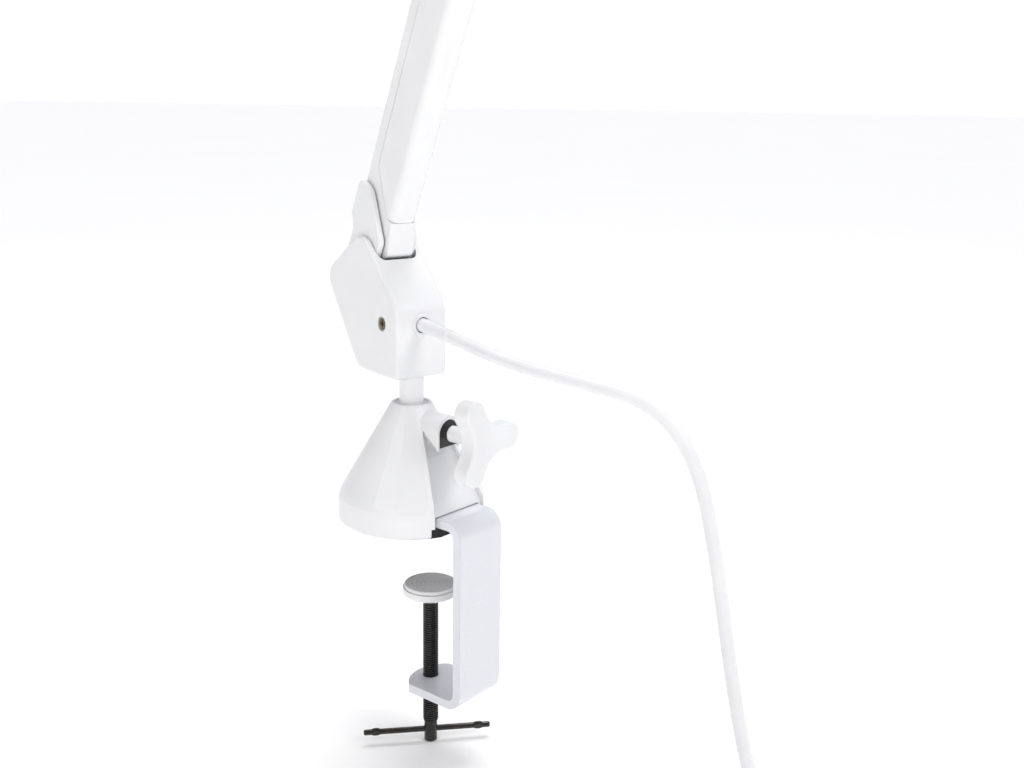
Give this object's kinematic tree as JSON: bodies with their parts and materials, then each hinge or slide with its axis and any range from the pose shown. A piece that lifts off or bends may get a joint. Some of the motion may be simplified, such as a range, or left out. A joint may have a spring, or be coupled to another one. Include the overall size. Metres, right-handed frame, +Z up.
{
  "type": "swing arm desk lamp",
  "caption": "White swing arm desk lamp with a cone base, strap screw clamp, lobed lock knob, boxed parallel-link arms, slim light bar head and mains lead.",
  "frame": {"origin": "centre of the base's underside, on the post's axis, where the lamp sits on the desk top", "axes": "+Z up along the post; +Y to the back edge of the desk, where the clamp strap hangs; +X to the side that the lamp's left cheek faces"},
  "size_m": [0.2366, 0.7761, 0.6747],
  "materials": {
    "white_shell": "satin moulded white",
    "white_steel": "white powder coat",
    "white_enamel": "satin white enamel",
    "black_steel": "black paint",
    "bronze_screw": "bronzed",
    "dark_steel": "dark nickel plate",
    "zinc": "zinc plate",
    "cast_block": "die cast",
    "black_rubber": "matte",
    "pale_rubber": "matte white",
    "black_nut": "matte black",
    "nylon": "natural nylon",
    "cord_white": "soft white vinyl",
    "tie_grey": "woven strap",
    "pin_metal": "bright nickel",
    "board": "white board",
    "led": "phosphor",
    "diffuser": "milky sheet"
  },
  "bodies": {
    "base": {"base_shell": "white_shell", "base_plate": "black_steel", "base_pad": "black_rubber", "base_screws": "zinc", "bracket_screws": "zinc", "clamp_bracket": "white_steel", "post_bush": "nylon", "foot_washer": "nylon", "lock_nut": "black_nut"},
    "clamp_pad": {"pad_cup": "white_shell", "pad_face": "pale_rubber"},
    "clamp_screw": {"clamp_screw": "dark_steel"},
    "t_bar": {"t_bar": "dark_steel"},
    "lock_tip": {"lock_tip": "nylon"},
    "lock_knob": {"lock_knob": "white_shell", "lock_stud": "zinc"},
    "swivel": {"post": "white_enamel", "post_block": "cast_block", "swivel_yoke": "zinc", "swivel_pins": "zinc", "housing_shell": "white_shell", "side_screws": "bronze_screw", "cord_grommet": "cord_white", "cord_sleeve": "cord_white", "cord_tube": "cord_white", "cord_coil": "cord_white", "cord_tie": "tie_grey", "plug_body": "cord_white", "plug_pins": "pin_metal"},
    "lower_arm": {"lower_channel": "white_shell", "lower_cover": "white_shell", "lower_cheeks": "white_shell", "lower_spacers": "nylon", "lower_spring_anchor": "zinc", "lower_spring": "zinc"},
    "lower_link": {"lower_link": "zinc"},
    "elbow": {"elbow_shell": "white_shell", "elbow_yoke": "zinc", "elbow_pins": "zinc", "elbow_caps": "white_shell"},
    "upper_arm": {"upper_channel": "white_shell", "upper_cover": "white_shell", "upper_cheeks": "white_shell", "upper_spacers": "nylon", "upper_spring_anchor": "zinc", "upper_spring": "zinc"},
    "upper_link": {"upper_link": "zinc"},
    "wrist": {"wrist_block": "white_shell", "wrist_pins": "zinc"},
    "neck": {"neck_post": "white_shell", "neck_cap": "white_shell"},
    "head": {"head_shell": "white_shell", "tilt_pin": "zinc", "switch_body": "nylon", "led_board": "board", "board_screws": "zinc", "led_chips": "led", "diffuser": "diffuser"},
    "power_button": {"power_button": "white_shell"}
  },
  "joints": [
    {"name": "screw_travel", "type": "slide", "parent": "base", "child": "clamp_pad", "axis": [0, 0, 1], "range_m": [-0.044, 0.023]},
    {"name": "screw_turn", "type": "hinge", "parent": "clamp_pad", "child": "clamp_screw", "pos_m": [0, 0.01285, -0.08], "axis": [0, 0, 1], "range_deg": [-12960, 6912]},
    {"name": "bar_slide", "type": "slide", "parent": "clamp_screw", "child": "t_bar", "axis": [-0.7536, 0.6574, 0], "range_m": [-0.019, 0.0225]},
    {"name": "lock_travel", "type": "slide", "parent": "base", "child": "lock_tip", "axis": [0, 1, 0], "range_m": [0, 0.003]},
    {"name": "lock_turn", "type": "hinge", "parent": "lock_tip", "child": "lock_knob", "pos_m": [0, 0.03, 0.0485], "axis": [0, 1, 0], "range_deg": [-5, 1116]},
    {"name": "base_swivel", "type": "hinge", "parent": "base", "child": "swivel", "pos_m": [0, 0, 0.06], "axis": [0, 0, 1], "range_deg": [-170, 170]},
    {"name": "lower_tilt", "type": "hinge", "parent": "swivel", "child": "lower_arm", "pos_m": [-0.00808, -0.03446, 0.1201], "axis": [0.9736, -0.2284, 0], "range_deg": [-1, 75], "deforming": ["lower_spring"]},
    {"name": "lower_link_turn", "type": "hinge", "parent": "swivel", "child": "lower_link", "pos_m": [-0.00606, -0.02584, 0.12169], "axis": [0.9736, -0.2284, 0], "range_deg": [-3, 76]},
    {"name": "elbow_level", "type": "hinge", "parent": "lower_arm", "child": "elbow", "pos_m": [0.03036, 0.12945, 0.46076], "axis": [0.9736, -0.2284, 0], "range_deg": [-76, 3]},
    {"name": "upper_tilt", "type": "hinge", "parent": "elbow", "child": "upper_arm", "pos_m": [0.02671, 0.11388, 0.49076], "axis": [0.9736, -0.2284, 0], "range_deg": [-45, 50], "deforming": ["upper_spring"]},
    {"name": "upper_link_turn", "type": "hinge", "parent": "elbow", "child": "upper_link", "pos_m": [0.02691, 0.11472, 0.49972], "axis": [0.9736, -0.2284, 0], "range_deg": [-46, 51]},
    {"name": "wrist_level", "type": "hinge", "parent": "upper_arm", "child": "wrist", "pos_m": [-0.0547, -0.2332, 0.54087], "axis": [0.9736, -0.2284, 0], "range_deg": [-51, 46]},
    {"name": "head_turn", "type": "hinge", "parent": "wrist", "child": "neck", "pos_m": [-0.06246, -0.2663, 0.54087], "axis": [0, 0, 1], "range_deg": [-90, 90]},
    {"name": "head_tilt", "type": "hinge", "parent": "neck", "child": "head", "pos_m": [-0.06246, -0.2663, 0.50687], "axis": [0.9736, -0.2284, 0], "range_deg": [-60, 35]},
    {"name": "button_press", "type": "slide", "parent": "head", "child": "power_button", "axis": [0, 0, -1], "range_m": [0, 0.0012], "stiffness_N_per_m": 500, "springref_m": -0.001}
  ],
  "couplings": [
    {"joint": "screw_turn", "follows": "screw_travel", "rad_per_m": 5026.5},
    {"joint": "lock_turn", "follows": "lock_travel", "rad_per_m": 6283.2},
    {"joint": "lower_link_turn", "follows": "lower_tilt", "ratio": 1},
    {"joint": "elbow_level", "follows": "lower_tilt", "ratio": -1},
    {"joint": "upper_link_turn", "follows": "upper_tilt", "ratio": 1},
    {"joint": "wrist_level", "follows": "upper_tilt", "ratio": -1}
  ]
}
